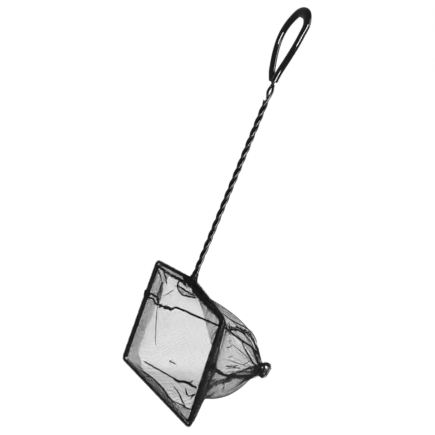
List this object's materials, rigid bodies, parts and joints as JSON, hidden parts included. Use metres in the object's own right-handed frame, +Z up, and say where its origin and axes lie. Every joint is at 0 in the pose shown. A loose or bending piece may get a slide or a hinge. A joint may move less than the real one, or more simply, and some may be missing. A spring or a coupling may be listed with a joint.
{
  "type": "aquarium fish net",
  "caption": "Hand net with a four-sided coated wire mouth, a twisted wire handle ending in a sleeved hanging loop, and a tapering netting bag sewn round the mouth.",
  "frame": {"origin": "where a peg touches the inside of the hanging loop's top", "axes": "+Z up the mouth's plane from the bag's end of the net towards the loop, +X across the mouth, +Y from the mouth back along the bag"},
  "size_m": [0.1578, 0.1478, 0.448],
  "materials": {
    "coated_wire": "steel wire with a smooth black plastic coating, semi-gloss",
    "grip_vinyl": "soft black vinyl tube, glossy",
    "netting": "fine black knitted nylon netting, see-through",
    "hem_netting": "folded black netting, matte",
    "thread": "black sewing thread, matte"
  },
  "bodies": {
    "root": {"mouth_frame_wire": "coated_wire", "handle_strand_start": "coated_wire", "handle_strand_return": "coated_wire", "handle_strand_end": "coated_wire", "loop_wire": "coated_wire", "grip_sleeve": "grip_vinyl", "bag_upper_panel": "netting", "bag_lower_panel": "netting", "hem_top_left": "hem_netting", "hem_top_right": "hem_netting", "hem_left": "hem_netting", "hem_bottom": "hem_netting", "hem_right": "hem_netting", "stitches_top_left": "thread", "stitches_top_right": "thread", "stitches_left": "thread", "stitches_bottom": "thread", "stitches_right": "thread", "seam_cord_left": "thread", "seam_cord_right": "thread", "tie_knot_left": "thread", "tie_knot_right": "thread", "neck_lashing": "thread", "apex_gather": "netting", "apex_tie": "thread"}
  },
  "joints": []
}
